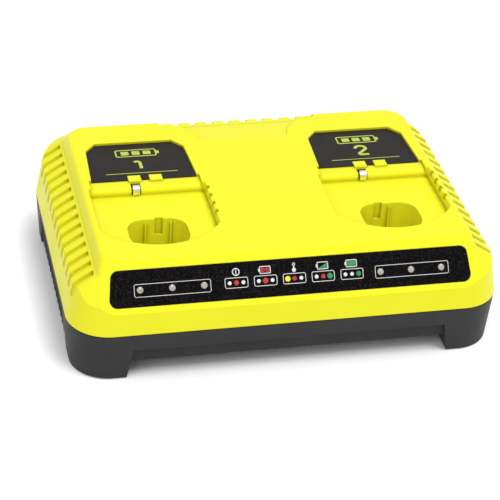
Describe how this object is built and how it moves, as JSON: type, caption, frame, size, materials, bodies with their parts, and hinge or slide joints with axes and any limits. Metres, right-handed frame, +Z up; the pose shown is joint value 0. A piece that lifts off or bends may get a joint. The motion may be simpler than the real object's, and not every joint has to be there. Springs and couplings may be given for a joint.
{
  "type": "battery charger",
  "caption": "Bench battery charger for stem-type tool packs: a lime louvred cover with bays side by side and a sloping indicator panel, on a dark base with corner legs.",
  "frame": {"origin": "middle of the footprint on the ground plane, at the soles of the foot pads", "axes": "+X to the right seen from the front, +Y to the rear where the mains inlet is, +Z up"},
  "size_m": [0.23, 0.164, 0.064],
  "materials": {
    "lime_shell": "fine satin moulding",
    "dark_shell": "fine matt moulding",
    "overlay_film": "satin film",
    "bay_plate": "matt moulding",
    "lamp_lens": "clear milky",
    "contact_metal": "plated",
    "terminal_metal": "plated",
    "screw_steel": "zinc plated",
    "foot_rubber": "matt",
    "block_plastic": "matt moulding",
    "board": "lacquered",
    "ferrite": "matt sintered",
    "winding_tape": "wound tape",
    "can_sleeve": "shrunk sleeve",
    "sink_metal": "extruded",
    "fuse_glass": "clear",
    "copper_wire": "enamelled wire"
  },
  "bodies": {
    "housing": {"base_housing": "dark_shell", "top_cover": "lime_shell", "indicator_overlay": "overlay_film", "lamp_board": "board", "left_bay_plate": "bay_plate", "right_bay_plate": "bay_plate", "left_lamp_lenses": "lamp_lens", "right_lamp_lenses": "lamp_lens", "left_contact_carrier": "block_plastic", "right_contact_carrier": "block_plastic", "left_power_terminals": "terminal_metal", "right_power_terminals": "terminal_metal", "left_terminal_block": "block_plastic", "right_terminal_block": "block_plastic", "foot_pads": "foot_rubber", "housing_screws": "screw_steel", "board_screws": "screw_steel", "main_board": "board", "transformer_core": "ferrite", "transformer_winding": "winding_tape", "mains_capacitor": "can_sleeve", "output_capacitors": "can_sleeve", "heat_sink": "sink_metal", "power_transistors": "block_plastic", "fuse": "fuse_glass", "line_choke": "copper_wire", "mains_inlet": "block_plastic", "inlet_pins": "terminal_metal"},
    "left_contact": {"left_sense_contact": "contact_metal"},
    "right_contact": {"right_sense_contact": "contact_metal"}
  },
  "joints": [
    {"name": "left_contact_flex", "type": "hinge", "parent": "housing", "child": "left_contact", "pos_m": [-0.0684, 0.00595, 0.0484], "axis": [-1, 0, 0], "range_deg": [0, 6], "stiffness_Nm_per_rad": 0.2},
    {"name": "right_contact_flex", "type": "hinge", "parent": "housing", "child": "right_contact", "pos_m": [0.0572, 0.00595, 0.0484], "axis": [-1, 0, 0], "range_deg": [0, 6], "stiffness_Nm_per_rad": 0.2}
  ]
}
